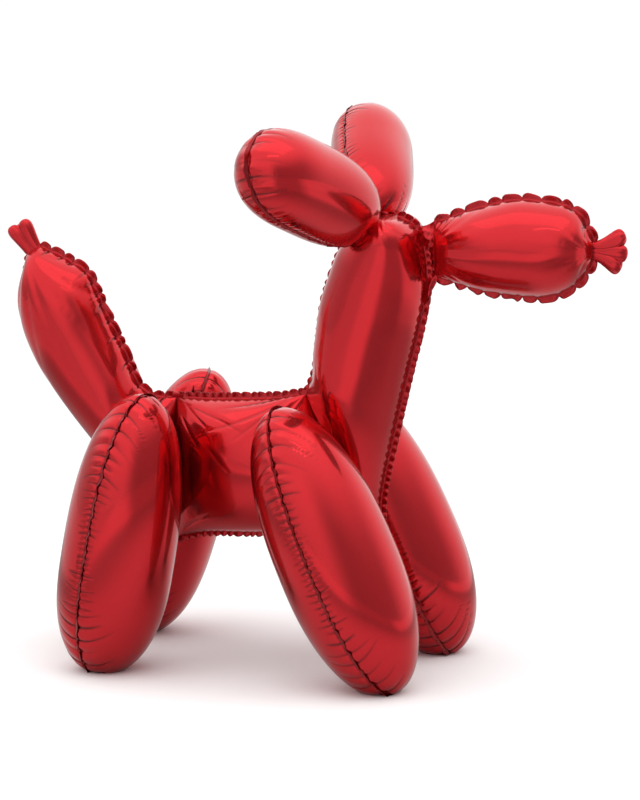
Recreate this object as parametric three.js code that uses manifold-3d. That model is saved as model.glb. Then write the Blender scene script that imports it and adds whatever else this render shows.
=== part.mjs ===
// Foil party balloon in the shape of a twisted-balloon dog, air filled, standing on four legs.
// Millimetres, +Z up, +X towards the snout, +Y towards the dog's left side.
// Four foil balloons make it: the body, and one pair each of ears, front legs and hind legs.

import * as THREE from 'three';
import { mergeVertices } from 'three/addons/utils/BufferGeometryUtils.js';
import Module from 'manifold-3d';

const wasm = await Module();
wasm.setup();

// Sizes shared by all chambers
const sealWidth = 9;
const sealThickness = 2.4;
const weldThickness = 3.6;
const clearance = 0.3;
const foilColour = 0xcf1c28;

// Trunk, a cushion between two welds
const trunkBottomHeight = 167;
const trunkRearHeight = 199;
const trunkLength = 192;
const trunkTopRise = 15;
const trunkBottomRise = 22;
const frontWeldSlant = 110;
const trunkDepth = 126;
const trunkPullIn = 11;

// Neck, snout and tail: where each one ends, and how thick it is across the dog
const neckTop = [127, 633];
const neckDepth = 146;
const snoutRoot = [187, 587];
const snoutLength = 217;
const snoutRise = 8;
const snoutDepth = 122;
const tailTip = [-416, 566];
const tailDepth = 118;

// Gathered tuft at the nose and at the tail's tip
const tuftLength = 44;
const tuftNeck = 20;
const tuftRadius = 11;
const noseTuftSpread = 0.42;
const tailTuftSpread = 0.24;

// Legs and ears are egg-shaped chambers, each from a top point to an end point
const frontLegDiameter = 165;
const frontLegTop = [-9, 117, 377];
const rightFrontFoot = [166, 121, -3];
const leftFrontFoot = [170, 130, -3];
const hindLegDiameter = 156;
const hindLegTop = [-195, 121, 388];
const rightHindFoot = [-264, 130, -8];
const leftHindFoot = [-318, 112, -6];
const rightEarDiameter = 132;
const leftEarDiameter = 122;
const earFlatness = 0.9;
const rightEarTurn = 0.6;
const leftEarTurn = -0.05;
const earRootBack = 36;
const earRootDrop = 5;
const earRootSide = 9;
const rightEarTip = [-91, 231, 94];
const leftEarTip = [-81, 229, 117];
const seamRib = 3.5;

// The tube that joins the two lobes of a pair, and the slot for it in the body's weld
const legTubeHalfWidth = 22;
const legTubeHalfThickness = 8;
const earTubeHalfWidth = 12;

// Distance between points along a plain seal edge, and between gathers along a scalloped one
const plainStep = 32;
const snoutGathers = 25;
const tailGathers = 21;

// Rear weld and front weld of the trunk, in the dog's middle plane
const rearWeldX = -197;
const rearWeldBottom = new THREE.Vector2(rearWeldX, trunkBottomHeight);
const rearWeldTop = new THREE.Vector2(rearWeldX, trunkBottomHeight + trunkRearHeight);
const frontWeldTop = new THREE.Vector2(rearWeldX + trunkLength, rearWeldTop.y + trunkTopRise);
const frontWeldBottom = new THREE.Vector2(frontWeldTop.x + frontWeldSlant, trunkBottomHeight + trunkBottomRise);
const rearWeldMiddle = rearWeldBottom.clone().lerp(rearWeldTop, 0.5);
const frontWeldMiddle = frontWeldBottom.clone().lerp(frontWeldTop, 0.5);

// A closed geometry becomes a solid once its shared vertices are merged.
function solid(geometry) {
  const bare = geometry.index ? geometry.toNonIndexed() : geometry.clone();
  bare.deleteAttribute('normal');
  bare.deleteAttribute('uv');
  const merged = mergeVertices(bare, 1e-3);
  const corners = merged.index.array;
  const kept = [];
  for (let i = 0; i < corners.length; i += 3) {
    const [a, b, c] = [corners[i], corners[i + 1], corners[i + 2]];
    if (a !== b && b !== c && c !== a) kept.push(a, b, c);
  }
  const vertProperties = new Float32Array(merged.attributes.position.array);
  return new wasm.Manifold(new wasm.Mesh({ numProp: 3, vertProperties, triVerts: new Uint32Array(kept) }));
}

function joined(solids) {
  return solids.reduce((all, one) => all.add(one));
}

// Every vertex moved out along its normal, which leaves room around a neighbour.
function swollen(geometry, distance) {
  const bare = geometry.clone();
  bare.deleteAttribute('normal');
  bare.deleteAttribute('uv');
  const merged = mergeVertices(bare, 1e-3);
  merged.computeVertexNormals();
  const { position, normal } = merged.attributes;
  for (let i = 0; i < position.count; i += 1) {
    position.setXYZ(
      i,
      position.getX(i) + distance * normal.getX(i),
      position.getY(i) + distance * normal.getY(i),
      position.getZ(i) + distance * normal.getZ(i),
    );
  }
  return merged;
}

// Shares [along, across] of a chamber's own length, laid off from its root towards its tip.
function placed(root, tip, shares) {
  const along = tip.clone().sub(root);
  const across = new THREE.Vector2(-along.y, along.x);
  return shares.map(([s, t]) => root.clone().addScaledVector(along, s).addScaledVector(across, t));
}

// Quarter-round rise from a flat weld to full thickness.
function rise(share) {
  const t = Math.min(Math.max(share, 0), 1);
  return Math.sqrt(1 - (1 - t) ** 2);
}

// A two-sheet pillow lying in the middle plane between two edge curves that run from root to tip,
// the upper one on the left of that way as the dog's right side shows it.
// Each cross-section is an ellipse, and the thickness rises from the weld at either end.
function pillowGeometry({ upper, lower, depth, rootRise, tipRise }, rows = 11, columns = 5) {
  const upperCurve = new THREE.SplineCurve(upper);
  const lowerCurve = new THREE.SplineCurve(lower);
  const points = [];
  for (const side of [-1, 1]) {
    for (let i = 0; i <= rows; i += 1) {
      const u = 0.5 - 0.5 * Math.cos((Math.PI * i) / rows);
      const a = upperCurve.getPointAt(u);
      const b = lowerCurve.getPointAt(u);
      const fullness = rise(u / rootRise) * rise((1 - u) / tipRise);
      for (let j = 0; j <= columns * 2; j += 1) {
        const angle = (Math.PI * j) / (columns * 2);
        const p = a.clone().lerp(b, 0.5 - 0.5 * Math.cos(angle));
        const inner = i > 0 && i < rows && j > 0 && j < columns * 2;
        points.push([p.x, inner ? side * 0.5 * depth * fullness * Math.sin(angle) : 0, p.y]);
      }
    }
  }
  const width = columns * 2 + 1;
  const sheet = (rows + 1) * width;
  const triangles = [];
  for (let i = 0; i < rows; i += 1) {
    for (let j = 0; j < columns * 2; j += 1) {
      const near = i * width + j;
      const far = near + sheet;
      triangles.push([near, near + 1, near + width], [near + 1, near + width + 1, near + width]);
      triangles.push([far, far + width, far + 1], [far + 1, far + width, far + width + 1]);
    }
  }
  const geometry = new THREE.BufferGeometry();
  geometry.setAttribute('position', new THREE.Float32BufferAttribute(points.flat(), 3));
  geometry.setIndex(triangles.flat());
  return geometry;
}

// A closed outline pushed out by the width of a seal. Where the foil is gathered, its edge has scallops,
// each drawn with three points and hollowed by a share of the width. A plain edge has one point a pitch.
function sealOutline(outline, width, { pitch, hollow }) {
  const samples = hollow > 0 ? 3 : 1;
  const curve = new THREE.Path(outline);
  const count = Math.max(3, Math.round(curve.getLength() / pitch)) * samples;
  const points = curve.getSpacedPoints(count).slice(0, count);
  const turn = Math.sign(THREE.ShapeUtils.area(points));
  return points.map((point, i) => {
    const before = points[(i + count - 1) % count];
    const after = points[(i + 1) % count];
    const tangent = after.clone().sub(before).normalize();
    const bulge = Math.abs(Math.sin((Math.PI * i) / samples));
    const offset = width * (1 - hollow + hollow * bulge);
    return new THREE.Vector2(point.x + turn * offset * tangent.y, point.y - turn * offset * tangent.x);
  });
}

// A thin plate with the given outline, centred on its own middle plane.
function plateGeometry(outline, thickness) {
  const plate = new THREE.ExtrudeGeometry(new THREE.Shape(outline), { depth: thickness, bevelEnabled: false });
  return plate.translate(0, 0, -thickness / 2);
}

// The sealed edge of a pillow: a plate in the middle plane, y = 0.
function sealGeometry(pillow, gathers) {
  const edge = [pillow.upper, pillow.lower].map((side) => new THREE.SplineCurve(side).getSpacedPoints(40));
  const outline = [...edge[0], ...edge[1].reverse()];
  outline.push(outline[0].clone());
  return plateGeometry(sealOutline(outline, sealWidth, gathers), sealThickness).rotateX(Math.PI / 2);
}

// Flat welded band between two chambers, along the weld line and a seal's width past its ends
function weldGeometry(from, to) {
  const along = to.clone().sub(from).setLength(sealWidth * 0.9);
  const across = new THREE.Vector2(-along.y, along.x);
  const [start, end] = [from.clone().sub(along), to.clone().add(along)];
  const outline = [start.clone().sub(across), end.clone().sub(across), end.clone().add(across)];
  outline.push(start.clone().add(across));
  return plateGeometry(outline, weldThickness).rotateX(Math.PI / 2);
}

// Gathered tuft: three rounded lobes fanned out from a narrow neck.
function tuftGeometries(root, direction, spread) {
  const heading = Math.atan2(direction.y, direction.x);
  return [-1, 0, 1].map((place) => {
    const profile = [new THREE.Vector2(0, 0)];
    for (let i = 0; i <= 6; i += 1) {
      const s = i / 6;
      const radius = tuftRadius * (0.45 + 0.55 * s) * Math.sqrt(1 - s ** 6);
      profile.push(new THREE.Vector2(i < 6 ? radius : 0, tuftLength * s));
    }
    const lobe = new THREE.LatheGeometry(profile, 7);
    const angle = heading + place * spread;
    const start = (place * (tuftNeck - tuftRadius)) / 2;
    lobe.rotateX(Math.PI / 2);
    lobe.rotateY(Math.PI / 2 - angle);
    return lobe.translate(root.x - start * Math.sin(heading), 0, root.y + start * Math.cos(heading));
  });
}

// Body: trunk, neck, snout and tail chambers of one two-sheet balloon

const trunk = {
  lower: [
    rearWeldBottom,
    rearWeldBottom.clone().lerp(frontWeldBottom, 0.15).add(new THREE.Vector2(0, trunkPullIn * 0.7)),
    rearWeldBottom.clone().lerp(frontWeldBottom, 0.4).add(new THREE.Vector2(0, trunkPullIn * 0.6)),
    rearWeldBottom.clone().lerp(frontWeldBottom, 0.9).add(new THREE.Vector2(0, trunkPullIn * 0.5)),
    frontWeldBottom,
  ],
  upper: [
    rearWeldTop,
    rearWeldTop.clone().lerp(frontWeldTop, 0.3).add(new THREE.Vector2(0, -trunkPullIn * 0.2)),
    rearWeldTop.clone().lerp(frontWeldTop, 0.7).add(new THREE.Vector2(0, -trunkPullIn * 0.3)),
    frontWeldTop,
  ],
  depth: trunkDepth,
  rootRise: 0.5,
  tipRise: 0.5,
};

const neckEnd = new THREE.Vector2(...neckTop);
const neck = {
  upper: [
    frontWeldTop,
    ...placed(frontWeldMiddle, neckEnd, [[0.33, 0.191], [0.45, 0.205], [0.6, 0.217], [0.72, 0.206]]),
    ...placed(frontWeldMiddle, neckEnd, [[0.83, 0.186], [0.92, 0.134], [0.98, 0.062]]),
    neckEnd,
  ],
  lower: [
    frontWeldBottom,
    ...placed(frontWeldMiddle, neckEnd, [[-0.067, -0.178], [0.19, -0.175], [0.43, -0.177], [0.618, -0.182]]),
    ...placed(frontWeldMiddle, neckEnd, [[0.785, -0.171], [0.918, -0.124], [0.981, -0.07]]),
    neckEnd,
  ],
  depth: neckDepth,
  rootRise: 0.3,
  tipRise: 0.16,
};

const snoutStart = new THREE.Vector2(...snoutRoot);
const snoutEnd = snoutStart.clone().add(new THREE.Vector2(snoutLength, snoutRise));
const snout = {
  upper: placed(snoutStart, snoutEnd, [
    [-0.03, 0.168], [0.152, 0.233], [0.315, 0.28], [0.551, 0.318],
    [0.803, 0.284], [0.916, 0.224], [0.964, 0.14], [1, 0.045],
  ]),
  lower: placed(snoutStart, snoutEnd, [
    [-0.03, -0.16], [0.103, -0.197], [0.29, -0.245], [0.506, -0.277],
    [0.685, -0.283], [0.816, -0.247], [0.91, -0.181], [1, -0.045],
  ]),
  depth: snoutDepth,
  rootRise: 0.42,
  tipRise: 0.42,
};

const tailEnd = new THREE.Vector2(...tailTip);
const tail = {
  upper: [
    rearWeldBottom,
    ...placed(rearWeldMiddle, tailEnd, [[0.061, 0.193], [0.308, 0.224], [0.547, 0.238], [0.68, 0.226]]),
    ...placed(rearWeldMiddle, tailEnd, [[0.8, 0.197], [0.884, 0.148], [0.955, 0.072], [1, 0.028]]),
  ],
  lower: [
    rearWeldTop,
    ...placed(rearWeldMiddle, tailEnd, [[0.27, -0.086], [0.348, -0.056], [0.461, -0.08], [0.616, -0.104]]),
    ...placed(rearWeldMiddle, tailEnd, [[0.72, -0.125], [0.805, -0.134], [0.875, -0.106], [1, -0.028]]),
  ],
  depth: tailDepth,
  rootRise: 0.34,
  tipRise: 0.4,
};

const pillows = [
  { pillow: trunk, gathers: { pitch: plainStep, hollow: 0 } },
  { pillow: neck, gathers: { pitch: plainStep, hollow: 0 } },
  { pillow: snout, gathers: { pitch: snoutGathers, hollow: 0.6 } },
  { pillow: tail, gathers: { pitch: tailGathers, hollow: 0.5 } },
];

// Flat web that joins the top of the neck to the root of the snout
function webGeometry() {
  const neckEdge = new THREE.SplineCurve(neck.lower);
  const foot = snout.lower[0].clone().sub(new THREE.Vector2(sealWidth, sealWidth));
  const head = snout.upper[0].clone().add(new THREE.Vector2(0, sealWidth * 0.7));
  const outline = [neckEdge.getPointAt(0.69), foot, snout.lower[1], snout.upper[1], head];
  outline.push(neckEdge.getPointAt(0.97), neckEdge.getPointAt(0.86));
  return plateGeometry(outline, sealThickness).rotateX(Math.PI / 2);
}

// Legs and ears

// Distance from the axis at a share of an egg's length, widest at share `widest`.
function eggRadius({ diameter, widest, bluntness }, share) {
  const t = share < widest ? (widest - share) / widest : (share - widest) / (1 - widest);
  return 0.5 * diameter * Math.sqrt(Math.max(0, 1 - t ** bluntness));
}

function eggProfile(egg, length, steps) {
  return Array.from({ length: steps + 1 }, (_, i) => {
    const share = 0.5 - 0.5 * Math.cos((Math.PI * i) / steps);
    const radius = i === 0 || i === steps ? 0 : eggRadius(egg, share);
    return new THREE.Vector2(radius, length * share);
  });
}

// The frame of an egg: local Y runs from its root to its end, and local X to its outer seam,
// which is turned back from the side of the dog by `seamTurn`.
function eggFrame({ root, end, seamTurn }) {
  const along = end.clone().sub(root).normalize();
  const side = new THREE.Vector3(0, Math.sign(end.y), 0);
  const outward = side.addScaledVector(along, -side.dot(along)).normalize();
  const back = new THREE.Vector3(-1, 0, 0);
  const rearward = back.addScaledVector(along, -back.dot(along)).addScaledVector(outward, -back.dot(outward));
  rearward.normalize();
  const seam = outward.multiplyScalar(Math.cos(seamTurn)).addScaledVector(rearward, Math.sin(seamTurn));
  const across = new THREE.Vector3().crossVectors(seam, along);
  return new THREE.Matrix4().makeBasis(seam, along, across).setPosition(root);
}

function eggGeometries(egg, steps, sides) {
  const length = egg.root.distanceTo(egg.end);
  const lobe = new THREE.LatheGeometry(eggProfile(egg, length, steps), sides).scale(1, 1, egg.flatness);
  const half = eggProfile(egg, length, 24);
  const outline = [...half, ...half.slice(0, -1).reverse().map((p) => new THREE.Vector2(-p.x, p.y))];
  const rib = plateGeometry(sealOutline(outline, seamRib, { pitch: plainStep, hollow: 0 }), sealThickness);
  const frame = eggFrame(egg);
  return [lobe.applyMatrix4(frame), rib.applyMatrix4(frame)];
}

// Elliptical tube straight across the dog, its wide axis along `slope` in the middle plane.
function crossTubeGeometry(centre, halfWidth, halfThickness, span, slope) {
  const ellipse = new THREE.Shape();
  ellipse.absellipse(0, 0, halfWidth, halfThickness, 0, 2 * Math.PI, false, slope);
  const tube = new THREE.ExtrudeGeometry(ellipse, { depth: span, bevelEnabled: false, curveSegments: 8 });
  tube.translate(0, 0, -span / 2);
  return tube.rotateX(Math.PI / 2).translate(centre.x, 0, centre.y);
}

// The ears meet over the back of the neck's top.
const earRoot = new THREE.Vector3(neckTop[0] - earRootBack, 0, neckTop[1] - earRootDrop);

const pairs = {
  front_legs: {
    lobes: [rightFrontFoot, leftFrontFoot].map((foot, i) => ({
      root: new THREE.Vector3(frontLegTop[0], (i * 2 - 1) * frontLegTop[1], frontLegTop[2]),
      end: new THREE.Vector3(foot[0], (i * 2 - 1) * foot[1], foot[2]),
      diameter: frontLegDiameter,
      widest: 0.55,
      bluntness: 2.27,
      flatness: 1,
      seamTurn: 0.15,
    })),
    tubeCentre: frontWeldMiddle,
    tubeSlope: frontWeldTop.clone().sub(frontWeldBottom).angle(),
    tubeHalfWidth: legTubeHalfWidth,
    tubeHalfThickness: legTubeHalfThickness,
    tubeSpan: frontLegTop[1] * 2 - frontLegDiameter * 0.5,
    steps: 11,
    sides: 18,
  },
  hind_legs: {
    lobes: [rightHindFoot, leftHindFoot].map((foot, i) => ({
      root: new THREE.Vector3(hindLegTop[0], (i * 2 - 1) * hindLegTop[1], hindLegTop[2]),
      end: new THREE.Vector3(foot[0], (i * 2 - 1) * foot[1], foot[2]),
      diameter: hindLegDiameter,
      widest: 0.59,
      bluntness: 2.65,
      flatness: 1,
      seamTurn: 0.28,
    })),
    tubeCentre: rearWeldMiddle.clone().sub(new THREE.Vector2(sealWidth, 0)),
    tubeSlope: Math.PI / 2,
    tubeHalfWidth: legTubeHalfWidth,
    tubeHalfThickness: legTubeHalfThickness,
    tubeSpan: hindLegTop[1] * 2 - hindLegDiameter * 0.5,
    steps: 11,
    sides: 18,
  },
  ears: {
    lobes: [rightEarTip, leftEarTip].map((tip, i) => ({
      root: earRoot.clone().setY((i * 2 - 1) * earRootSide),
      end: earRoot.clone().add(new THREE.Vector3(tip[0], (i * 2 - 1) * tip[1], tip[2])),
      diameter: [rightEarDiameter, leftEarDiameter][i],
      widest: 0.58,
      bluntness: 3,
      flatness: earFlatness,
      seamTurn: [rightEarTurn, leftEarTurn][i],
    })),
    tubeCentre: new THREE.Vector2(earRoot.x - earTubeHalfWidth, neckTop[1] + sealWidth + earTubeHalfWidth),
    tubeSlope: 0,
    tubeHalfWidth: earTubeHalfWidth,
    tubeHalfThickness: earTubeHalfWidth * 0.7,
    tubeSpan: rightEarDiameter * 0.6,
    steps: 10,
    sides: 18,
  },
};

function crossTube(pair, room = 0) {
  const { tubeCentre, tubeHalfWidth, tubeHalfThickness, tubeSpan, tubeSlope } = pair;
  return crossTubeGeometry(tubeCentre, tubeHalfWidth + room, tubeHalfThickness + room, tubeSpan, tubeSlope);
}

function bodySolid() {
  const parts = pillows.flatMap(({ pillow, gathers }) => [pillowGeometry(pillow), sealGeometry(pillow, gathers)]);
  const noseDirection = new THREE.Vector2(1, -0.05);
  const tailDirection = new THREE.Vector2(-0.6, 0.8);
  const noseTuft = tuftGeometries(snoutEnd, noseDirection, noseTuftSpread);
  const tailTuft = tuftGeometries(tailEnd, tailDirection, tailTuftSpread);
  const welds = [weldGeometry(rearWeldBottom, rearWeldTop), weldGeometry(frontWeldBottom, frontWeldTop)];
  const whole = joined([...parts, ...welds, webGeometry(), ...noseTuft, ...tailTuft].map(solid));
  const slots = Object.values(pairs).map((pair) => solid(crossTube(pair, clearance)));
  return whole.subtract(joined(slots));
}

// Room that a pair keeps free around the body's pillows
const bodyRoom = joined(pillows.map(({ pillow }) => solid(swollen(pillowGeometry(pillow), clearance))));

// Everything below the ground, which the feet are flattened against
function groundSolid() {
  const size = 2000;
  return solid(new THREE.BoxGeometry(size, size, size).translate(0, 0, -size / 2));
}

function pairSolid(pair) {
  const lobes = pair.lobes.flatMap((egg) => eggGeometries(egg, pair.steps, pair.sides));
  const cleared = joined(lobes.map(solid)).subtract(bodyRoom);
  return cleared.add(solid(crossTube(pair))).subtract(groundSolid());
}

function meshOf(name, shape) {
  const { vertProperties, triVerts } = shape.getMesh();
  const geometry = new THREE.BufferGeometry();
  geometry.setAttribute('position', new THREE.Float32BufferAttribute(vertProperties, 3));
  geometry.setIndex(new THREE.Uint32BufferAttribute(triVerts, 1));
  geometry.computeVertexNormals();
  const material = new THREE.MeshStandardMaterial({ color: foilColour, roughness: 0.12, metalness: 1 });
  const mesh = new THREE.Mesh(geometry, material);
  mesh.name = name;
  return mesh;
}

const dog = new THREE.Group();
dog.add(meshOf('body', bodySolid()));
for (const [name, pair] of Object.entries(pairs)) dog.add(meshOf(name, pairSolid(pair)));

// The origin is on the ground, under the middle of the dog's bounding box.
const extent = new THREE.Box3().setFromObject(dog);
dog.position.set(-(extent.min.x + extent.max.x) / 2, -(extent.min.y + extent.max.y) / 2, 0);

export default dog;
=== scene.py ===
import math

import bpy
import numpy as np
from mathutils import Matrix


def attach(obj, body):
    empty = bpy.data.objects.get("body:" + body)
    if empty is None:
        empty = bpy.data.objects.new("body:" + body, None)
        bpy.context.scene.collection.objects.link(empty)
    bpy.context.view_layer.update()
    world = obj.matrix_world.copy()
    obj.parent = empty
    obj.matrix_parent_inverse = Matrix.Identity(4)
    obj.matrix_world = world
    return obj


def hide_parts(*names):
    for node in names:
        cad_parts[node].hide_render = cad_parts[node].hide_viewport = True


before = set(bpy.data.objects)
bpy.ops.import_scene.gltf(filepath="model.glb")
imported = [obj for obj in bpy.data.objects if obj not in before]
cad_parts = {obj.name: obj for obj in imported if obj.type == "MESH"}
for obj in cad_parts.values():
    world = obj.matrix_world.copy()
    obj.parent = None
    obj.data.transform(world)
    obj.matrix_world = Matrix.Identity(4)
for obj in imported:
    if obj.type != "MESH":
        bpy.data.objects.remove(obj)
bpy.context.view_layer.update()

# Foil dog balloon in metres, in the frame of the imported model: +X to the snout, +Y the dog's left, +Z up.
# Every piece is a numpy grid of rings, closed at both ends. A point with two coordinates is an (x, z)
# in the dog's middle plane, where the body's seam lies.
MM = 0.001
origin_shift = np.array([2.83, -0.27, 0]) * MM

# Seals
seal_width = 9 * MM
film = 0.35 * MM

# Trunk
trunk_bottom = 167 * MM
trunk_rear_height = 199 * MM
trunk_length = 192 * MM
trunk_top_rise = 15 * MM
trunk_bottom_rise = 22 * MM
front_weld_slant = 110 * MM
trunk_depth = 126 * MM
trunk_pull_in = 11 * MM
rear_weld_x = -197 * MM

# Neck, snout and tail
neck_top = np.array([127, 633]) * MM
neck_depth = 146 * MM
snout_root = np.array([187, 587]) * MM
snout_reach = np.array([217, 8]) * MM
snout_depth = 122 * MM
tail_tip = np.array([-416, 566]) * MM
tail_depth = 118 * MM
tuft_length = 44 * MM

# Legs and ears, in millimetres: where each lobe starts and ends on the dog's left side, the shape of
# its egg, how far its seam plane is turned back, and how wide its seal is
right_front_leg = dict(root=(-9, 117, 377), end=(166, 121, -3), diameter=165, flatness=1, widest=0.55,
                       bluntness=2.27, turn=0.15, seal=4.2)
left_front_leg = dict(right_front_leg, end=(170, 130, -3))
right_hind_leg = dict(root=(-195, 121, 388), end=(-264, 130, -8), diameter=156, flatness=1, widest=0.59,
                      bluntness=2.65, turn=0.28, seal=4.2)
left_hind_leg = dict(right_hind_leg, end=(-318, 112, -6))
right_ear = dict(root=(91, 9, 628), end=(0, 231, 722), diameter=132, flatness=0.9, widest=0.58,
                 bluntness=3.0, turn=0.6, seal=3.4)
left_ear = dict(right_ear, end=(10, 229, 745), diameter=122, turn=-0.05)

# Tubes that join the lobes of a pair: half width and half thickness in millimetres, and span
front_tube = (22, 8, 152 * MM)
hind_tube = (78, 7, 163 * MM)
ear_tube = (12, 8.4, 73 * MM)

rear_bottom = np.array([rear_weld_x, trunk_bottom])
rear_top = rear_bottom + [0, trunk_rear_height]
front_top = rear_top + [trunk_length, trunk_top_rise]
front_bottom = np.array([front_top[0] + front_weld_slant, trunk_bottom + trunk_bottom_rise])
rear_middle = (rear_bottom + rear_top) / 2
front_middle = (front_bottom + front_top) / 2


# Curves and helpers

def spline(points, count=900):
    """Catmull-Rom curve through the points, resampled to even steps of arc length."""
    points = np.asarray(points, float)
    t = np.linspace(0, len(points) - 1, count)
    k = np.minimum(t.astype(int), len(points) - 2)
    f = (t - k)[:, None]
    p0, p1 = points[np.maximum(k - 1, 0)], points[k]
    p2, p3 = points[k + 1], points[np.minimum(k + 2, len(points) - 1)]
    v0, v1 = (p2 - p0) / 2, (p3 - p1) / 2
    curve = (2 * p1 - 2 * p2 + v0 + v1) * f ** 3 + (-3 * p1 + 3 * p2 - 2 * v0 - v1) * f ** 2 + v0 * f + p1
    arc = np.concatenate([[0], np.cumsum(np.linalg.norm(np.diff(curve, axis=0), axis=1))])
    even = np.linspace(0, arc[-1], count)
    return np.stack([np.interp(even, arc, curve[:, i]) for i in range(curve.shape[1])], -1), arc[-1]


def at(curve, share):
    """Point of an evenly sampled curve at a share of its length."""
    places = np.linspace(0, 1, len(curve))
    return np.stack([np.interp(share, places, curve[:, i]) for i in range(curve.shape[1])], -1)


def placed(root, tip, shares):
    """Points given as shares [along, across] of the way from root to tip."""
    along = np.asarray(tip) - root
    across = np.array([-along[1], along[0]])
    return [root + s * along + t * across for s, t in shares]


def rise(share):
    """Quarter-round rise from a flat weld to full thickness."""
    return np.sqrt(1 - (1 - np.clip(share, 0, 1)) ** 2)


def surface_normals(rings, wrap=True):
    """Unit normals of a grid of rings, by central differences along and round it."""
    along = np.gradient(rings, axis=0)
    if wrap:
        around = np.roll(rings, -1, 1) - np.roll(rings, 1, 1)
    else:
        around = np.gradient(rings, axis=1)
    normals = np.cross(along, around)
    return normals / np.maximum(np.linalg.norm(normals, axis=2, keepdims=True), 1e-12)


def crease_phase(length, pitch, seed):
    """Number of creases passed along a seam: one over the pitch, summed, with a slow seeded drift. The
    result is a function of the distance along the seam."""
    steps = np.linspace(0, length, 2000)
    spacing = pitch(steps / length) if callable(pitch) else np.full(2000, pitch)
    rng = np.random.default_rng(seed)
    drift = sum(rng.uniform(0.08, 0.18) * np.sin(2 * np.pi * steps / length * n + rng.uniform(0, 6.3))
                for n in (3, 5, 9))
    phase = np.concatenate([[0], np.cumsum(np.diff(steps) / spacing[1:])])
    phase *= round(phase[-1]) / phase[-1]
    return lambda distance: np.interp(distance, steps, phase + drift * np.sin(np.pi * steps / length))


def gathers(phase, distance, pitch, depth, reach, fold, seed):
    """Relief of gathered foil beside a seam: narrow folds across it, each a sharp groove with a low ridge
    along one side, and puffs between them. The folds lean, and their depth and reach vary. The second
    result is a mask of shade painted along the grooves."""
    rng = np.random.default_rng(seed)
    strength = rng.uniform(0.3, 1.0, 400)
    extent = rng.uniform(0.45, 1.3, 400)
    lean = rng.uniform(-0.12, 0.12, 400)
    nearest = np.round(phase).astype(int) % 400
    aside = (phase - np.round(phase)) * pitch + lean[nearest] * distance
    fade = strength[nearest] * np.clip(1 - distance / (reach * extent[nearest]), 0, 1) ** 0.5
    groove_and_shade = np.exp(-np.abs(aside) / fold) - 0.45 * np.exp(-((aside - 1.9 * fold) / (1.2 * fold)) ** 2)
    puff = np.cos(np.pi * (phase - np.round(phase))) ** 2 * np.exp(-(distance / (0.45 * reach)) ** 2)
    # Painted shade along the bottom of each groove, as strong as the fold is deep.
    shade_mark = np.exp(-(aside / (1.6 * fold)) ** 2) * np.minimum(1.5 * fade, 1)
    return -depth * (groove_and_shade * fade + 0.7 * puff), shade_mark


def sway(places, seed, short=18 * MM, long=60 * MM, waves=5):
    """Slow seeded wave along a line, between about -1 and 1: a few sines of different lengths."""
    rng = np.random.default_rng(seed)
    total = sum(np.sin(2 * np.pi * places / rng.uniform(short, long) + rng.uniform(0, 6.3))
                for _ in range(waves))
    return total / waves ** 0.5 / 1.4


def crumple(points, scale, seed, waves=10):
    """Soft seeded unevenness: a few sine waves in random directions through space."""
    rng = np.random.default_rng(seed)
    total = np.zeros(points.shape[:-1])
    for _ in range(waves):
        direction = rng.normal(size=3)
        direction *= 2 * np.pi / (scale * rng.uniform(0.6, 1.6)) / np.linalg.norm(direction)
        total = total + np.sin(points @ direction + rng.uniform(0, 6.3))
    return total / waves


def make_piece(name, node, rings, seal, ends=("point", "point"), fold_shade=0.0):
    """A closed mesh from rings. An end closes on a point, or folds flat where two sheets meet. The seal
    mask and a mask of painted shade, dark in the folds, drive the foil's material."""
    rows, columns, _ = rings.shape
    points = rings.reshape(-1, 3).copy()
    points += origin_shift
    points[:, 2] = np.maximum(points[:, 2], 0)
    masks = np.stack([np.broadcast_to(mask, (rows, columns)).ravel() for mask in (seal, fold_shade)])
    i, j = np.meshgrid(np.arange(rows - 1), np.arange(columns), indexing="ij")
    k = (j + 1) % columns
    faces = [np.stack([i * columns + j, i * columns + k, (i + 1) * columns + k, (i + 1) * columns + j],
                      -1).reshape(-1, 4)]
    for end, row in zip(ends, (0, rows - 1)):
        base = row * columns
        if end == "point":
            centre = len(points)
            points = np.vstack([points, points[base:base + columns].mean(0)])
            masks = np.column_stack([masks, masks[:, base]])
            c = np.arange(columns)
            fan = np.stack([base + (c + 1) % columns, base + c, np.full(columns, centre)], -1)
            faces.append(np.column_stack([fan, fan[:, 2]]) if row == 0 else
                         np.column_stack([fan[:, [1, 0, 2]], fan[:, 2]]))
        else:
            c = np.arange(columns // 2 - 1)
            strip = np.stack([base + c, base + columns - 1 - c, base + columns - 2 - c, base + c + 1], -1)
            faces.append(strip if row == 0 else strip[:, ::-1])
    faces = np.vstack(faces)
    corners = points[faces]
    volume = np.einsum("ij,ij->i", corners[:, 0], np.cross(corners[:, 1], corners[:, 2])).sum()
    volume += np.einsum("ij,ij->i", corners[:, 0], np.cross(corners[:, 2], corners[:, 3])).sum()
    if volume < 0:
        faces = faces[:, ::-1]
    polygons = [face if face[2] != face[3] and face[0] != face[1] else tuple(dict.fromkeys(face))
                for face in faces.tolist()]
    mesh = bpy.data.meshes.new(name)
    mesh.from_pydata(points.tolist(), [], polygons)
    mesh.update()
    mesh.polygons.foreach_set("use_smooth", np.ones(len(mesh.polygons), bool))
    for label, mask in zip(("seal", "groove_and_shade"), masks.astype(np.float32)):
        mesh.attributes.new(label, "FLOAT", "POINT").data.foreach_set("value", np.ascontiguousarray(mask))
    piece = bpy.data.objects.new(name, mesh)
    bpy.context.scene.collection.objects.link(piece)
    mesh.materials.append(foil)
    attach(piece, "root")
    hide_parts(node)


# Shader writing

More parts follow.
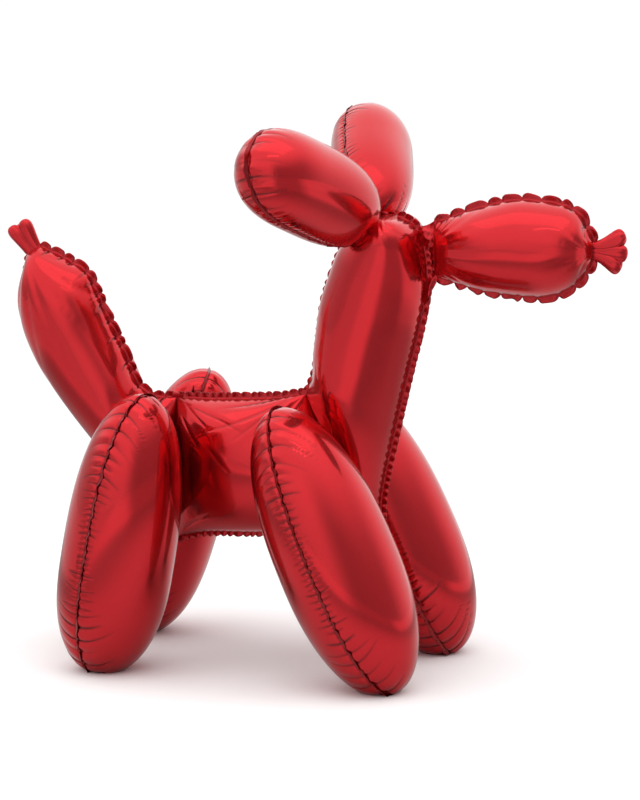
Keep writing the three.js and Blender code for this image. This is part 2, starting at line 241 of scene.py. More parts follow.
class Value:
    """A shader socket that takes part in Python expressions; each operator adds a Math node."""

    def __init__(self, shader, socket):
        self.shader = shader
        self.socket = socket

    def maths(self, operation, *inputs):
        return self.shader.node("ShaderNodeMath", {"operation": operation}, *inputs)

    def __add__(self, other):
        return self.maths("ADD", self, other)

    def __radd__(self, other):
        return self.maths("ADD", other, self)

    def __rsub__(self, other):
        return self.maths("SUBTRACT", other, self)

    def __mul__(self, other):
        return self.maths("MULTIPLY", self, other)

    def __rmul__(self, other):
        return self.maths("MULTIPLY", other, self)


class Shader:
    """The node tree of a material or a world, with one method that adds any node."""

    def __init__(self, owner):
        self.owner = owner
        owner.use_nodes = True
        self.tree = owner.node_tree
        self.surface = next(node for node in self.tree.nodes
                            if node.type in ("BSDF_PRINCIPLED", "BACKGROUND"))

    def node(self, kind, settings, *inputs, output=0, **named):
        made = self.tree.nodes.new(kind)
        for key, value in settings.items():
            setattr(made, key, value)
        for key, value in [*enumerate(inputs), *named.items()]:
            self.set(made.inputs[key.replace("_", " ") if isinstance(key, str) else key], value)
        return Value(self, made.outputs[output])

    def set(self, socket, value):
        if isinstance(value, Value):
            self.tree.links.new(value.socket, socket)
        else:
            socket.default_value = value

    def ramp(self, value, start, stop, low, high):
        """Smooth step from low to high while the value goes from start to stop."""
        smooth = {"interpolation_type": "SMOOTHSTEP"}
        return self.node("ShaderNodeMapRange", smooth, value, start, stop, low, high)

    def mix(self, factor, one, two):
        made = self.tree.nodes.new("ShaderNodeMix")
        made.data_type = "RGBA"
        self.set(made.inputs[0], factor)
        self.set(made.inputs[6], one)
        self.set(made.inputs[7], two)
        return Value(self, made.outputs[2])


def red_foil():
    """Red lacquered metallised film: mirror metal under a clear gloss, a little duller on the seals, and
    with shade painted as a dark colour into the sharp folds."""
    deep_red, bright_red = (0.58, 0.008, 0.014, 1), (0.66, 0.010, 0.018, 1)
    # The second colour below is painted shade: the colour that folds, seal ribbons, bridge tubes and the
    # trunk by its rear weld are darkened towards.
    seal_red, fold_shade_red = (0.34, 0.004, 0.009, 1), (0.07, 0.001, 0.002, 1)
    shader = Shader(bpy.data.materials.new("red_foil"))
    place = shader.node("ShaderNodeTexCoord", {}, output="Object")
    seal, groove_and_shade = (shader.node("ShaderNodeAttribute", {"attribute_name": label}, output="Fac")
                    for label in ("seal", "groove_and_shade"))
    cloud = shader.node("ShaderNodeTexNoise", {}, Vector=place, Scale=9.0, Detail=2.0)
    grain = shader.node("ShaderNodeTexNoise", {}, Vector=place, Scale=260.0, Detail=2.0)
    ribs = shader.node("ShaderNodeTexNoise", {}, Vector=place, Scale=700.0, Detail=1.0)
    plain = shader.mix(cloud, deep_red, bright_red)
    sealed = shader.mix(seal * 0.75, plain, seal_red)
    # Painted shade: where the second mask is set, the colour is darkened towards the painted shade colour.
    colour = shader.mix(groove_and_shade * 0.9, sealed, fold_shade_red)
    shader.set(shader.surface.inputs["Base Color"], colour)
    shader.set(shader.surface.inputs["Roughness"], 0.08 + 0.05 * cloud + 0.12 * seal)
    shader.surface.inputs["Metallic"].default_value = 0.87
    shader.surface.inputs["Coat Weight"].default_value = 0.45
    shader.surface.inputs["Coat Roughness"].default_value = 0.3
    shader.surface.inputs["Coat IOR"].default_value = 1.5
    height = 0.25 * grain + seal * ribs
    bump = shader.node("ShaderNodeBump", {}, Strength=0.10, Distance=0.0006, Height=height)
    shader.set(shader.surface.inputs["Normal"], bump)
    return shader.owner


foil = red_foil()


# Body chambers: two sheets sealed round the edge in the dog's middle plane

def edge_line(points, share, gather, outward):
    """An edge at shares of its length: its points, its outward normals, and the creases passed."""
    curve, length = spline(points)
    tangents = np.gradient(curve, axis=0)
    tangents = at(tangents / np.linalg.norm(tangents, axis=1, keepdims=True), share)
    normals = outward * np.stack([-tangents[:, 1], tangents[:, 0]], -1)
    creases = crease_phase(length, gather["pitch"], gather["seed"])(share * length)
    return at(curve, share), normals, creases[:, None]


def chamber_sheet(spec, share, middle, height, angle, edges, side):
    """One sheet of a chamber, and a mask of shade painted into its sharp folds and by its root weld. The
    relief is laid along its normals.
    """
    sheet = np.stack([middle[..., 0], side * height, middle[..., 1]], -1)
    normals = surface_normals(sheet, wrap=False)
    normals *= np.sign((normals[..., 1] * side).sum())
    step = np.linalg.norm(np.diff(sheet, axis=1), axis=2)
    from_upper = np.concatenate([np.zeros((len(share), 1)), np.cumsum(step, 1)], 1)
    from_lower = from_upper[:, -1:] - from_upper
    # Painted shade in the deep fold by the root weld, as strong as the chamber's shade and fading away from
    # the weld.
    weld_shade = spec.get("shade", 0) * np.exp(-((share / 0.13) ** 2))[:, None]
    folds = [(spec["folds"](sheet, share[:, None], angle[None], side), weld_shade + 0 * height)]
    folds += [crease(sheet, *line) for line in spec.get("creases", ())]
    for (_, _, creases), distance, gather in zip(edges, (from_upper, from_lower), spec["gathers"]):
        folds.append(gathers(creases, distance, gather["pitch"], gather["depth"], gather["reach"],
                             gather["fold"], gather["seed"] + side))
    relief = sum(folded for folded, _ in folds)
    # The mask is the strongest of the painted shades: folds, creases, gathers and the weld.
    shade_mark = np.max([groove_and_shade for _, groove_and_shade in folds], axis=0)
    calm = rise(share / 0.05) * rise((1 - share) / 0.03)
    return sheet + normals * (relief * calm[:, None])[..., None], shade_mark


def chamber_seal(edge, foot, gather, share, columns):
    """Strip of seal along an edge of a chamber, scalloped between its creases and a little ruffled."""
    _, normal, creases = edge
    out = np.linspace(0, 1, columns)[None, :]
    offset = np.abs(creases - np.round(creases)) * 2
    scallop = 1 - gather["hollow"] * (1 - np.sin(np.pi * offset / 2) ** 0.65)
    width = gather["width"] * scallop * (rise(share / 0.02) * rise((1 - share) / 0.02))[:, None]
    ruffle = gather["ruffle"] * np.cos(2 * np.pi * creases) * out ** 1.3
    ruffle = ruffle + 0.3 * gather["ruffle"] * np.cos(np.pi * creases * 1.37 + 1) * out
    x = foot[:, None, 0] + normal[:, None, 0] * out * width
    z = foot[:, None, 2] + normal[:, None, 1] * out * width
    return np.stack([x, ruffle, z], -1)


def chamber(name, spec, stations, columns=44, seal_columns=5):
    """A pillow chamber. Across it each sheet is half an ellipse between the edges, and its thickness
    rises from the welds. Outside the edges the two sheets run on together as the seal."""
    share = np.linspace(0, 1, stations)
    share = share - 0.55 * np.sin(2 * np.pi * share) / (2 * np.pi)
    edges = [edge_line(spec[label], share, gather, outward)
             for label, gather, outward in zip(("upper", "lower"), spec["gathers"], (1, -1))]
    fullness = rise(share / spec["root_rise"]) * rise((1 - share) / spec["tip_rise"])
    angle = np.linspace(0, np.pi, columns)
    across = (0.5 - 0.5 * np.cos(angle))[None, :, None]
    middle = edges[0][0][:, None] * (1 - across) + edges[1][0][:, None] * across
    height = 0.5 * spec["depth"] * fullness[:, None] * np.sin(angle)[None]
    near, far = (chamber_sheet(spec, share, middle, height, angle, edges, side) for side in (-1, 1))
    feet = [(near[0][:, column] + far[0][:, column]) / 2 for column in (0, -1)]
    first, last = (chamber_seal(edge, foot, gather, share, seal_columns)
                   for edge, foot, gather in zip(edges, feet, spec["gathers"]))
    # The sheets carry their painted shade of the folds; the seals carry none.
    rings, fold_shade = [], []
    sealed, bare = np.ones((stations, seal_columns)), np.zeros((stations, columns - 2))
    for (sheet, shade_mark), side in ((near, -1), (far, 1)):
        lift = np.array([0, side * film, 0])
        order = slice(None, None, -side)
        rings.append(np.concatenate([first[:, ::-1] + lift, sheet[:, 1:-1], last + lift], 1)[:, order])
        fold_shade.append(np.concatenate([0 * sealed, shade_mark[:, 1:-1], 0 * sealed], 1)[:, order])
    seal = np.concatenate([sealed, bare, sealed, sealed, bare, sealed], 1)
    make_piece(name, "body", np.concatenate(rings, 1), seal, ("fold", "fold"), np.concatenate(fold_shade, 1))


def crease(points, corner, heading, start, stop):
    """A sharp, nearly straight fold that runs out from a corner at a heading in degrees, between two
    distances in millimetres: its relief, a groove with a low ridge beside it, and a mask of shade painted
    along the groove."""
    x, z = points[..., 0] - corner[0], points[..., 2] - corner[1]
    cos, sin = math.cos(math.radians(heading)), math.sin(math.radians(heading))
    along, aside = (x * cos + z * sin) / MM, (z * cos - x * sin) / MM
    aside = aside + 2.5 * np.sin(along / 28 + heading)
    fade = np.clip((along - start) / 15, 0, 1) * np.clip((stop - along) / 40, 0, 1)
    fold = np.exp(-np.abs(aside) / 1.8) - 0.5 * np.exp(-((aside - 6) / 5) ** 2)
    # The second value is painted shade along the groove.
    return -1.5 * MM * fold * fade, 0.55 * np.exp(-(aside / 1.0) ** 2) * fade


def star_folds(points, centre, count, reach, depth, turn=0.0, roundness=0.7):
    """Folds that fan out from a gathered point in the middle plane and fade with distance."""
    x, z = points[..., 0] - centre[0], points[..., 2] - centre[1]
    distance = np.hypot(x, z)
    fan = np.abs(np.sin(count * np.arctan2(z, x) + turn))
    swell = np.clip(distance / (0.5 * reach), 0, 1) ** 1.5
    return depth * (fan ** roundness - 0.6) * swell * np.exp(-(distance / reach) ** 2)


def long_flutes(angle, share, depth, seed):
    """Shallow folds that run the length of a chamber and drift a little across it."""
    rng = np.random.default_rng(seed)
    total = 0 * angle * share
    for count in (4, 7, 11):
        bend = rng.uniform(-1.5, 1.5) * np.sin(np.pi * share * rng.uniform(0.6, 1.2))
        total = total + np.abs(np.sin(count * angle / 2 + bend + rng.uniform(0, 6.3))) ** 0.8 * 3 / count
    return depth * (total - 0.9) * np.sin(np.pi * np.clip(share, 0, 1)) ** 0.4


def trunk_folds(points, share, angle, side):
    """Tension folds that run in from the trunk's four corners."""
    corners = ((rear_top, 4, 0.4), (rear_bottom, 3, 1.1), (front_top, 4, 0.2), (front_bottom, 3, 0.7))
    folds = sum(star_folds(points, corner, count, 105 * MM, 2.8 * MM, turn + 0.5 * side, 1.6)
                for corner, count, turn in corners)
    return folds + 0.6 * MM * crumple(points, 100 * MM, 11 + side)


def neck_folds(points, share, angle, side):
    """Folds at the slanted weld and at the rounded top, and long shallow flutes between."""
    top = star_folds(points, neck_top - [12 * MM, -4 * MM], 9, 38 * MM, 2.0 * MM, 0.4 * side)
    base = star_folds(points, front_top, 6, 55 * MM, 2.4 * MM, 0.3)
    flutes = long_flutes(angle, share, 0.9 * MM, 23 + side)
    return top + base + flutes + 0.5 * MM * crumple(points, 130 * MM, 21 + side)


def snout_folds(points, share, angle, side):
    """Folds fanned out from the pinched root and from the gathered tip."""
    root = star_folds(points, snout_root - [16 * MM, 0], 15, 74 * MM, 2.2 * MM, 0.3 * side)
    tip = star_folds(points, snout_root + snout_reach, 8, 46 * MM, 2.2 * MM, 0.5)
    return root + tip + 0.9 * MM * crumple(points, 80 * MM, 31 + side)


def tail_folds(points, share, angle, side):
    """Long folds that run down from the gathered tip, and short ones at the weld."""
    tip = star_folds(points, tail_tip, 11, 150 * MM, 2.6 * MM, 0.4 * side)
    root = star_folds(points, rear_top, 6, 50 * MM, 2.4 * MM, 0.2)
    flutes = long_flutes(angle, share, 1.1 * MM, 43 + side)
    return tip + root + flutes + 0.6 * MM * crumple(points, 100 * MM, 41)


def edge_gathers(pitch, width, hollow, depth, reach, ruffle, seed):
    """Gathers of one edge: their pitch, the seal's width and how hollow it is between scallops, the folds'
    depth and reach, and the seal's ruffle. Lengths are in millimetres."""
    return dict(pitch=pitch * MM, width=width * MM, hollow=hollow, depth=depth * MM, reach=reach * MM,
                ruffle=ruffle * MM, fold=0.07 * pitch * MM, seed=seed)


def pulled_in(start, stop, shares):
    """Points between two corners of the trunk, each lifted by a share of its pull-in."""
    lifted = [start + s * (stop - start) + np.array([0, lift * trunk_pull_in]) for s, lift in shares]
    return [start, *lifted, stop]


# Each chamber: its edge curves in the middle plane, its depth, how soon it fills out from both ends,
# and its folds. A crease is given by its corner, its heading in degrees, and where it starts and stops
# in millimetres from the corner.
trunk = dict(
    lower=pulled_in(rear_bottom, front_bottom, [(0.15, 0.7), (0.4, 0.6), (0.9, 0.5)]),
    upper=pulled_in(rear_top, front_top, [(0.3, -0.2), (0.7, -0.3)]),
    # The trunk's shade is how strong the shade painted into the deep fold by its rear weld is.
    depth=trunk_depth, root_rise=0.5, tip_rise=0.5, folds=trunk_folds, shade=0.5,
    creases=((rear_top, -17, 25, 135), (rear_top, -27, 15, 85), (rear_top, -50, 20, 95),
             (front_top, 190, 15, 120), (front_top, 203, 20, 150), (front_top, 214, 20, 120),
             (rear_bottom, 35, 15, 90), (front_bottom, 160, 20, 110), (rear_top, -41, 85, 140)),
    gathers=(edge_gathers(pitch=12, width=9, hollow=0.35, depth=0.45, reach=6, ruffle=1.6, seed=1),
             edge_gathers(pitch=11, width=8, hollow=0.3, depth=0.45, reach=6, ruffle=1.4, seed=2)),
)
neck = dict(
    upper=[front_top,
           *placed(front_middle, neck_top, [(0.33, 0.191), (0.45, 0.205), (0.6, 0.217), (0.72, 0.206),
                                            (0.83, 0.186), (0.92, 0.134), (0.98, 0.062)]),
           neck_top],
    lower=[front_bottom,
           *placed(front_middle, neck_top, [(-0.067, -0.178), (0.19, -0.175), (0.43, -0.177),
                                            (0.618, -0.182), (0.785, -0.171), (0.918, -0.124),
                                            (0.981, -0.07)]),
           neck_top],
    depth=neck_depth, root_rise=0.3, tip_rise=0.16, folds=neck_folds,
    gathers=(edge_gathers(pitch=13, width=5.5, hollow=0.35, depth=0.4, reach=7, ruffle=1.2, seed=3),
             edge_gathers(pitch=11, width=9.5, hollow=0.25, depth=0.45, reach=8, ruffle=2.2, seed=4)),
)
snout_tip = snout_root + snout_reach
snout = dict(
    upper=placed(snout_root, snout_tip, [(-0.03, 0.168), (0.152, 0.233), (0.315, 0.28), (0.551, 0.318),
                                         (0.803, 0.284), (0.916, 0.224), (0.964, 0.14), (1, 0.045)]),
    lower=placed(snout_root, snout_tip, [(-0.03, -0.16), (0.103, -0.197), (0.29, -0.245), (0.506, -0.277),
                                         (0.685, -0.283), (0.816, -0.247), (0.91, -0.181), (1, -0.045)]),
    depth=snout_depth, root_rise=0.42, tip_rise=0.42, folds=snout_folds,
    gathers=(edge_gathers(pitch=25, width=9, hollow=0.48, depth=1.8, reach=22, ruffle=1.8, seed=5),
             edge_gathers(pitch=25, width=9, hollow=0.48, depth=1.8, reach=22, ruffle=1.8, seed=6)),
)
tail = dict(
    upper=[rear_bottom,
           *placed(rear_middle, tail_tip, [(0.061, 0.193), (0.308, 0.224), (0.547, 0.238), (0.68, 0.226),
                                           (0.8, 0.197), (0.884, 0.148), (0.955, 0.072), (1, 0.028)])],
    lower=[rear_top,
           *placed(rear_middle, tail_tip, [(0.27, -0.086), (0.348, -0.056), (0.461, -0.08), (0.616, -0.104),
                                           (0.72, -0.125), (0.805, -0.134), (0.875, -0.106), (1, -0.028)])],
    depth=tail_depth, root_rise=0.34, tip_rise=0.4, folds=tail_folds,
    gathers=(edge_gathers(pitch=14, width=5, hollow=0.5, depth=1.0, reach=12, ruffle=1.2, seed=7),
             edge_gathers(pitch=20, width=9.5, hollow=0.42, depth=2.0, reach=24, ruffle=1.8, seed=8)),
)


def welds():
    """Flat heat-sealed bands along the two welds of the trunk, slightly wavy."""
    ends = {"rear_weld": (rear_bottom, rear_top), "front_weld": (front_bottom, front_top)}
    for name, (start, stop) in ends.items():
        along = (stop - start) / np.linalg.norm(stop - start)
        across = np.array([-along[1], along[0]])
        places = np.linspace(-0.8 * seal_width, np.linalg.norm(stop - start) + 0.8 * seal_width, 90)
        width = np.linspace(-0.9, 0.9, 7) * seal_width
        x = start[0] + places[:, None] * along[0] + width * across[0]
        z = start[1] + places[:, None] * along[1] + width * across[1]
        y = 0.6 * MM * np.sin(places[:, None] / (3 * MM)) + 0 * width
        near, far = (np.stack([x, y + side * 2 * film, z], -1) for side in (-1, 1))
        make_piece(name, "body", np.concatenate([near, far[:, ::-1]], 1), 1.0, ("fold", "fold"))


def throat_web():
    """Crumpled flat web between the neck and the snout, drawn in at a pinch half way. Its height off
    the middle plane is a few crossed seeded waves."""
    neck_edge, _ = spline(neck["lower"])
    rows = np.linspace(0, 1, 130)[:, None]
    inner = at(neck_edge, 0.69 + 0.28 * rows[:, 0])
    foot, head = snout["lower"][0] + [2 * MM, -9 * MM], snout["upper"][0] + [4 * MM, 6 * MM]
    outer = foot + rows * (head - foot) + np.array([4 * MM, 0]) * np.sin(np.pi * rows)
    columns = np.linspace(0, 1, 40)[None, :, None]
    flat = inner[:, None] * (1 - columns) + outer[:, None] * columns
    ease = np.sin(np.pi * columns[..., 0])
    spots = np.insert(flat, 1, 0, -1)
    y = 9.6 * MM * crumple(spots, 34 * MM, 71, 8) + 4 * MM * crumple(spots, 14 * MM, 72, 8)
    z = flat[..., 1] - 9 * MM * ease * rows ** 5
    near, far = (np.stack([flat[..., 0], y * ease + side * film, z], -1) for side in (-1, 1))
    make_piece("throat_web", "body", np.concatenate([near, far[:, ::-1]], 1), 0.5, ("fold", "fold"))


def tuft(name, root, direction, spread, root_width, half_width, seed):
    """Gathered end of the foil: three soft petals fanned out from a tight neck, overlapping. A petal's
    half width in millimetres grows along it and rounds off at the end, and shallow flutes run down it."""
    heading = math.atan2(direction[1], direction[0])
    rng = np.random.default_rng(seed)
    rounding = 0.8 + 0.2 * np.sin(np.linspace(0, np.pi / 2, 22)[1:])
    t = np.concatenate([np.linspace(-0.35, 0.8, 60), rounding])[:, None]
    phi = np.linspace(0, 2 * np.pi, 72, endpoint=False)[None]
    grown = np.clip(t, 0, 1)
    closed = np.sqrt(np.maximum(1 - grown ** 7, 0.002))
    for place in (-1, 0, 1):
        length = tuft_length * rng.uniform(0.92, 1.06)
        flutes = 1 + grown * (0.10 * np.cos(3 * phi + rng.uniform(0, 6.3)) + 0.05 * np.cos(7 * phi + 2 * t))
        wide = (root_width + (half_width - root_width) * grown ** 0.8) * MM * closed * flutes * np.cos(phi)
        deep = (5.5 + 3.0 * grown) * MM * closed * flutes * np.sin(phi)
        turn = heading + place * spread * grown ** 0.6
        aside = place * 5.5 * MM * (1 - 0.4 * np.clip(-t, 0, 1))
        x = root[0] + length * t * np.cos(turn) - (aside + wide) * np.sin(turn)
        z = root[1] + length * t * np.sin(turn) + (aside + wide) * np.cos(turn)
        y = deep + (0.5 - abs(place)) * 5 * MM * rng.choice([-1, 1]) * grown
        make_piece(f"{name}_{place + 2}", "body", np.stack([x, y, z], -1), 0.25)


# Legs and ears: egg-shaped lobes with a seam in a plane through the axis

def egg_frame(root, end, turn):
    """Axes of a lobe: the way to its outer seam, its length, and across its seam plane."""
    along = (end - root) / np.linalg.norm(end - root)
    outward = np.array([0, np.sign(end[1]), 0])
    outward = outward - outward @ along * along
    outward /= np.linalg.norm(outward)
    back = np.array([-1.0, 0, 0])
    back = back - back @ along * along - back @ outward * outward
    back /= np.linalg.norm(back)
    seam = outward * math.cos(turn) + back * math.sin(turn)
    return seam, along, np.cross(seam, along)


def middle_share(share):
    """1 along the middle of a lobe's seam, falling to 0 at both ends."""
    return np.exp(-((share - 0.5) / 0.27) ** 4)


def crease_spacing(share):
    """Wide gathers at both ends of a lobe's seam and close ones along its middle."""
    return (24 - 16 * middle_share(np.clip(share, 0, 1))) * MM


def seam_relief(distance, place, length, seed):
    """Gathers beside a lobe's seam: long folds near the ends, short close ones along the middle."""
    share = place / length
    middle = middle_share(share)
    phase = crease_phase(length, crease_spacing, seed)(place)
    reach = (62 - 44 * middle) * MM
    depth = (2.4 - 1.6 * middle) * MM
    fold = (1.05 - 0.25 * middle) * MM
    return gathers(phase, distance, crease_spacing(share), depth, reach, fold, seed + 1)


def egg_outline(egg, length, rows):
    """A blunt egg: heights along its axis, radii, and arc lengths from its root."""
    share = 0.5 - 0.5 * np.cos(np.pi * np.linspace(0.012, 0.988, rows))
    widest = egg["widest"]
    t = np.where(share < widest, (widest - share) / widest, (share - widest) / (1 - widest))
    radius = 0.5 * egg["diameter"] * MM * np.sqrt(1 - t ** egg["bluntness"])
    height = share * length
    arc = radius[0] + np.concatenate([[0], np.cumsum(np.hypot(np.diff(radius), np.diff(height)))])
    return height, radius, arc


def lobe(name, node, egg, seed, mirror=1, rows=420, columns=150):
    """A leg or an ear: its skin, and the sealed edge round it."""
    root, end = (np.array(egg[point]) * MM * [1, mirror, 1] for point in ("root", "end"))
    length = np.linalg.norm(end - root)
    axes = egg_frame(root, end, egg["turn"])
    outline = egg_outline(egg, length, rows)
    lobe_skin(name, node, root, axes, outline, egg["widest"] * length, egg["flatness"], columns, seed)
    lobe_seal(name + "_seam", node, root, axes, outline, egg["seal"], seed)


def lobe_skin(name, node, root, axes, outline, widest, flatness, columns, seed):
    """Rings round a lobe's axis. The relief has a groove along the seam and folds that cross it, laid out
    by the angle in the seam's plane, and long shallow flutes run the length of the lobe."""
    seam, along, across = axes
    height, radius, arc = outline
    total = arc[-1] + radius[-1]
    phi = np.linspace(0, 2 * np.pi, columns, endpoint=False)
    phi = phi - 0.72 * np.sin(2 * phi) / 2
    cos, sin = np.cos(phi)[None], np.sin(phi)[None]
    wide, deep = radius[:, None] * cos, radius[:, None] * sin * flatness
    rings = root + along * height[:, None, None] + seam * wide[..., None] + across * deep[..., None]
    normals = surface_normals(rings)
    normals *= np.sign((normals * (rings - rings.mean(1, keepdims=True))).sum())
    distance = np.abs(radius[:, None] * np.arcsin(sin))
    turned = np.arctan2(height - widest, radius)
    place = np.interp(np.arctan2((height - widest)[:, None], np.abs(wide)), turned, arc)
    # The second mask is painted shade along the grooves of the folds by the seam.
    relief, shade_mark = np.zeros(distance.shape), np.zeros(distance.shape)
    for side, chosen in ((1, cos >= 0), (-1, cos < 0)):
        folds, groove_and_shade = seam_relief(distance, place, total, seed + 7 * side)
        relief += np.where(chosen, folds, 0)
        shade_mark += np.where(chosen, groove_and_shade, 0)
    relief -= 2.0 * MM * np.exp(-distance / (2.4 * MM))
    stretched = np.stack([wide, deep, 0.22 * height[:, None] + 0 * cos], -1)
    relief += 1.0 * MM * crumple(stretched, 70 * MM, seed + 5)
    rings = rings + normals * relief[..., None]
    make_piece(name, node, rings, np.exp(-(distance / (1.6 * MM)) ** 2), fold_shade=shade_mark)


def lobe_seal(name, node, root, axes, outline, reach, seed):
    """The sealed edge of a lobe: a closed ribbon round its outline, folded down beside the seam and
    standing up a little at the two ends."""
    seam, along, across = axes
    height, radius, arc = outline
    total = arc[-1] + radius[-1]
    half = np.stack([radius, height], -1)
    loop = np.concatenate([half, half[::-1] * [-1, 1]])
    tangent = np.roll(loop, -1, 0) - np.roll(loop, 1, 0)
    tangent /= np.linalg.norm(tangent, axis=1, keepdims=True)
    normal = np.stack([tangent[:, 1], -tangent[:, 0]], -1)
    places = np.concatenate([arc, arc[::-1] + 3 * total])
    share = np.concatenate([arc, arc[::-1]]) / total
    at_end = 1 - np.exp(-((share - 0.5) / 0.42) ** 8)
    tip = np.exp(-((1 - share) * total / (12 * MM)) ** 2)
    lean = 0.14 + 0.5 * at_end + 0.16 * sway(places, seed) + 0.8 * tip
    out = np.linspace(0, 1, 6)[None, :]
    ragged = 1.1 * sway(places, seed + 1) + 0.5 * sway(places, seed + 2, 6 * MM, 12 * MM)
    width = (reach + ragged + 2.5 * tip)[:, None] * MM * out
    outward = np.sin(lean)[:, None] * width - 1.5 * MM * (1 - out)
    wave = 1.4 * MM * sway(places, seed + 3, 9 * MM, 30 * MM) * (1 - at_end)
    aside = np.cos(lean)[:, None] * width + wave[:, None]
    flat = loop[:, None] + normal[:, None] * outward[..., None]
    strip = root + seam * flat[..., :1] + along * flat[..., 1:] + across * aside[..., None]
    lift = (normal[:, :1] * seam + normal[:, 1:] * along)[:, None] * film
    ring = np.concatenate([strip + lift, (strip - lift)[:, ::-1]], 1)
    ring = np.concatenate([ring, ring[:1]])
    # The ribbon has the seal colour, and painted shade at 0.45 darkens it further for the shade it lies in
    # beside the seam.
    make_piece(name, node, ring, 0.85, ("fold", "fold"), 0.45)


def cross_tube(name, node, centre, half_width, half_thickness, span, slope):
    """Pinched, pleated tube between the two lobes of a pair, narrow in the middle and flared at both
    ends."""
    t = np.linspace(-1, 1, 60)[:, None]
    phi = np.linspace(0, 2 * np.pi, 72, endpoint=False)[None]
    flare = 1 + 0.3 * np.abs(t) ** 3
    size = 0.96 * MM * flare * (1 + 0.06 * np.cos(9 * phi) * (0.4 + np.abs(t)))
    wide, thick = half_width * size * np.cos(phi), half_thickness * size * np.sin(phi)
    x = centre[0] + wide * math.cos(slope) - thick * math.sin(slope)
    z = centre[1] + wide * math.sin(slope) + thick * math.cos(slope)
    y = span / 2 * t + 0 * phi
    # The tube is darkened by painted shade at 0.3, for the shaded gap it sits in between the lobes.
    make_piece(name, node, np.stack([x, y, z], -1), 1.0, fold_shade=0.3)


def build_dog():
    chamber("trunk", trunk, stations=170, columns=180)
    chamber("neck", neck, stations=260)
    chamber("snout", snout, stations=240)
    chamber("tail", tail, stations=300)
    welds()
    throat_web()
    tuft("nose_tuft", snout_tip, (1, -0.05), spread=0.42, root_width=6.5, half_width=15, seed=61)
    tuft("tail_tuft", tail_tip, (-0.56, 0.83), spread=0.13, root_width=8, half_width=12, seed=62)
    lobe("right_front_leg", "front_legs", right_front_leg, seed=100, mirror=-1)
    lobe("left_front_leg", "front_legs", left_front_leg, seed=110)
    lobe("right_hind_leg", "hind_legs", right_hind_leg, seed=120, mirror=-1)
    lobe("left_hind_leg", "hind_legs", left_hind_leg, seed=130)
    lobe("right_ear", "ears", right_ear, seed=140, mirror=-1, rows=320, columns=140)
    lobe("left_ear", "ears", left_ear, seed=150, rows=320, columns=140)
    weld_slope = math.atan2(*(front_top - front_bottom)[::-1])
    ear_half_width = ear_tube[0] * MM
    ear_centre = (right_ear["root"][0] * MM - ear_half_width, neck_top[1] + seal_width + ear_half_width)
    cross_tube("front_leg_bridge", "front_legs", front_middle, *front_tube, weld_slope)
    cross_tube("hind_leg_bridge", "hind_legs", rear_middle - [seal_width, 0], *hind_tube, math.pi / 2)
    cross_tube("ear_bridge", "ears", ear_centre, *ear_tube, 0)


build_dog()


# Stage, light and camera

def floor():
    """Pale floor. In the foil's reflections it is grey near the dog, lighter further out, and darker
    ahead of the dog and behind it."""
    size = 60
    mesh = bpy.data.meshes.new("floor")
    corners = [(-size, -size, 0), (size, -size, 0), (size, size, 0), (-size, size, 0)]
    mesh.from_pydata(corners, [], [(0, 1, 2, 3)])
    plane = bpy.data.objects.new("floor", mesh)
    bpy.context.scene.collection.objects.link(plane)
    shader = Shader(bpy.data.materials.new("pale_floor"))
    place = shader.node("ShaderNodeTexCoord", {}, output="Object")
    x = shader.node("ShaderNodeSeparateXYZ", {}, place)
    away = shader.node("ShaderNodeVectorMath", {"operation": "LENGTH"}, place, output="Value")
    near = shader.ramp(away, 0.35, 1.0, 0.55, 0.30)
    grey = near + shader.ramp(away, 1.1, 1.7, 0, 0.42) + shader.ramp(away, 2.2, 4.0, 0, 0.12)
    way = shader.node("ShaderNodeVectorMath", {"operation": "NORMALIZE"}, place, output="Vector")
    aside, ahead = (shader.node("ShaderNodeSeparateXYZ", {}, way, output=axis) for axis in "XY")
    dim = shader.ramp(aside, 0.20, 0.55, 0.0, 0.55) * shader.ramp(ahead, -0.3, 0.1, 1.0, 0.0)
    dark = 1 - dim * shader.ramp(away, 0.8, 1.5, 0.0, 1.0)
    grey = grey * dark * shader.ramp(x, -1.6, -0.3, 0.75, 1.0)
    seen = shader.node("ShaderNodeLightPath", {}, output="Is Camera Ray")
    shader.set(shader.surface.inputs["Base Color"], shader.mix(seen, grey, (0.9, 0.9, 0.9, 1)))
    shader.surface.inputs["Roughness"].default_value = 0.9
    shader.surface.inputs["Specular IOR Level"].default_value = 0.1
    mesh.materials.append(shader.owner)


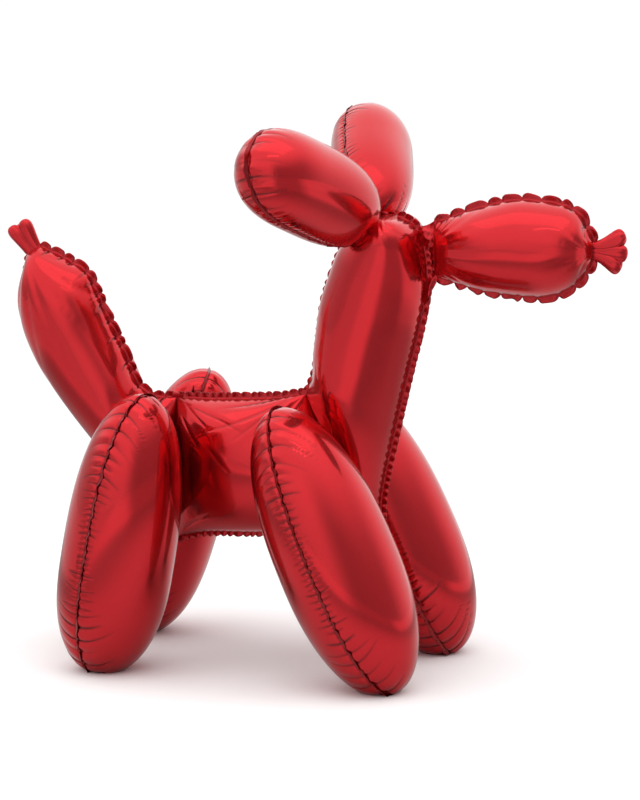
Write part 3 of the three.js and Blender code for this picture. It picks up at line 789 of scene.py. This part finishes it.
def light():
    """White surroundings, brighter overhead and dimmer low ahead of the dog and behind it, and soft panels
    of light. A panel that isn't mirrored stays out of the foil's reflections."""
    world = bpy.data.worlds.new("studio")
    bpy.context.scene.world = world
    shader = Shader(world)
    direction = shader.node("ShaderNodeTexCoord", {}, output="Generated")
    x, y, z = (shader.node("ShaderNodeSeparateXYZ", {}, direction, output=axis) for axis in "XYZ")
    level = shader.ramp(z, 0.0, 0.5, 1.0, 1.25)
    front = shader.ramp(y, -1.0, 0.1, 0.9, 1.0)
    left = 1 - shader.ramp(x, -0.9, -0.3, 0.45, 0.0) * shader.ramp(z, 0.15, 0.45, 1.0, 0.0)
    dim = shader.ramp(x, 0.08, 0.6, 0.0, 0.62) * shader.ramp(y, 0.0, 0.8, 1.0, 0.0)
    dark = 1 - dim * shader.ramp(z, 0.3, 0.8, 1.0, 0.0)
    room = level * front * left * dark
    seen = shader.node("ShaderNodeLightPath", {}, output="Is Camera Ray")
    shader.set(shader.surface.inputs["Color"], shader.mix(seen, room, (1, 1, 1, 1)))

    # Name, place, size, brightness, and whether the foil mirrors it
    lights = (
        ("fill", (0.1, -0.6, 2.6), (3.4, 2.4), 1.2, False),
        ("top", (0.1, -0.6, 2.5), (2.6, 1.4), 0.35, True),
        ("glint", (0.5, -1.3, 2.2), (1.0, 0.05), 14, True),
        ("right", (1.8, 2.2, 1.3), (0.8, 1.6), 1.8, True),
        ("back", (0.3, 2.6, 1.8), (2.0, 2.0), 1.2, False),
    )
    for name, place, (width, tall), brightness, mirrored in lights:
        data = bpy.data.lights.new(name, "AREA")
        data.shape = "RECTANGLE"
        data.size, data.size_y = width, tall
        data.energy = brightness * math.pi * width * tall
        lamp = bpy.data.objects.new(name, data)
        lamp.location = place
        lamp.visible_glossy = mirrored
        towards = np.array((0, 0, 0.4)) - place
        yaw = math.atan2(towards[0], -towards[1])
        pitch = math.acos(-towards[2] / np.linalg.norm(towards))
        lamp.rotation_euler = (pitch, 0, yaw)
        bpy.context.scene.collection.objects.link(lamp)


def camera():
    """Long lens at the dog's right, 20 degrees towards its head and 9 degrees above the horizon."""
    azimuth, elevation, distance = math.radians(20), math.radians(9), 4.4
    target = np.array([16 * MM, 0, 373.3 * MM]) + origin_shift
    direction = np.array([math.sin(azimuth) * math.cos(elevation),
                          -math.cos(azimuth) * math.cos(elevation), math.sin(elevation)])
    data = bpy.data.cameras.new("camera")
    data.sensor_width = 36
    data.lens = 143.5
    seen = bpy.data.objects.new("camera", data)
    seen.location = target + distance * direction
    seen.rotation_euler = (math.pi / 2 - elevation, 0, azimuth)
    bpy.context.scene.collection.objects.link(seen)
    bpy.context.scene.camera = seen


floor()
light()
camera()
bpy.context.scene.view_settings.view_transform = "Standard"
